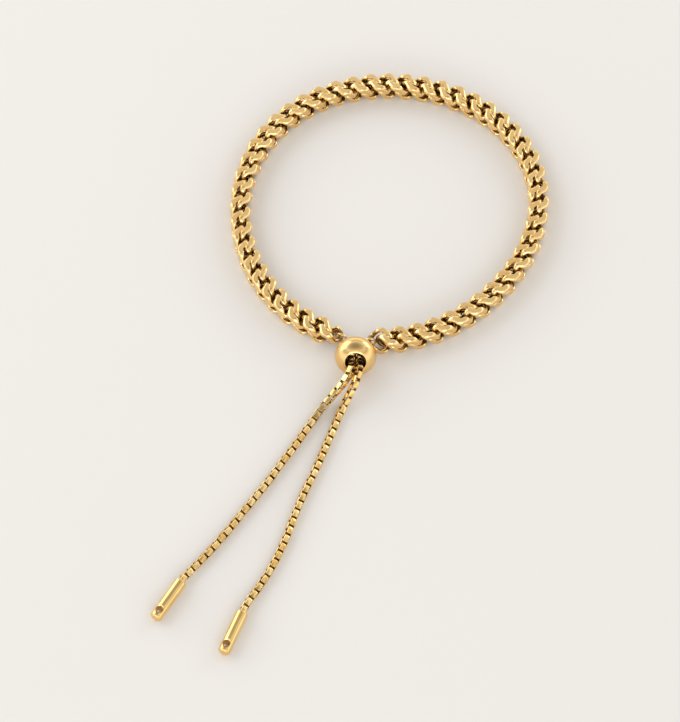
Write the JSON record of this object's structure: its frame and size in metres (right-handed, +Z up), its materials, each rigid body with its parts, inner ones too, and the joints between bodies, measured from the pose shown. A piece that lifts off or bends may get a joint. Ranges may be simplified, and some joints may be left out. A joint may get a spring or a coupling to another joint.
{
  "type": "slider chain bracelet",
  "caption": "Adjustable bracelet in a loop of interlocked square chain, closed by a drilled slider bead with thin box-chain tails and drilled end caps.",
  "frame": {"origin": "middle of the bracelet's bounding box, on the surface it lies on", "axes": "+Z up from the surface, -Y towards the ends of the tails, +Y towards the far side of the loop, +X to the right as seen from the tails"},
  "size_m": [0.076, 0.1274, 0.0076],
  "materials": {
    "chain_gold": "gold-plated wire, ground flat and polished",
    "bead_gold": "gold-plated, smoothly polished",
    "box_chain_gold": "gold-plated box chain, bright"
  },
  "bodies": {
    "root": {"curb_chain_left": "chain_gold", "curb_chain_right": "chain_gold", "slider_bead": "bead_gold", "joining_ring_left": "bead_gold", "joining_ring_right": "bead_gold", "box_chain_left": "box_chain_gold", "box_chain_right": "box_chain_gold", "end_cap_left": "bead_gold", "end_cap_right": "bead_gold"}
  },
  "joints": []
}
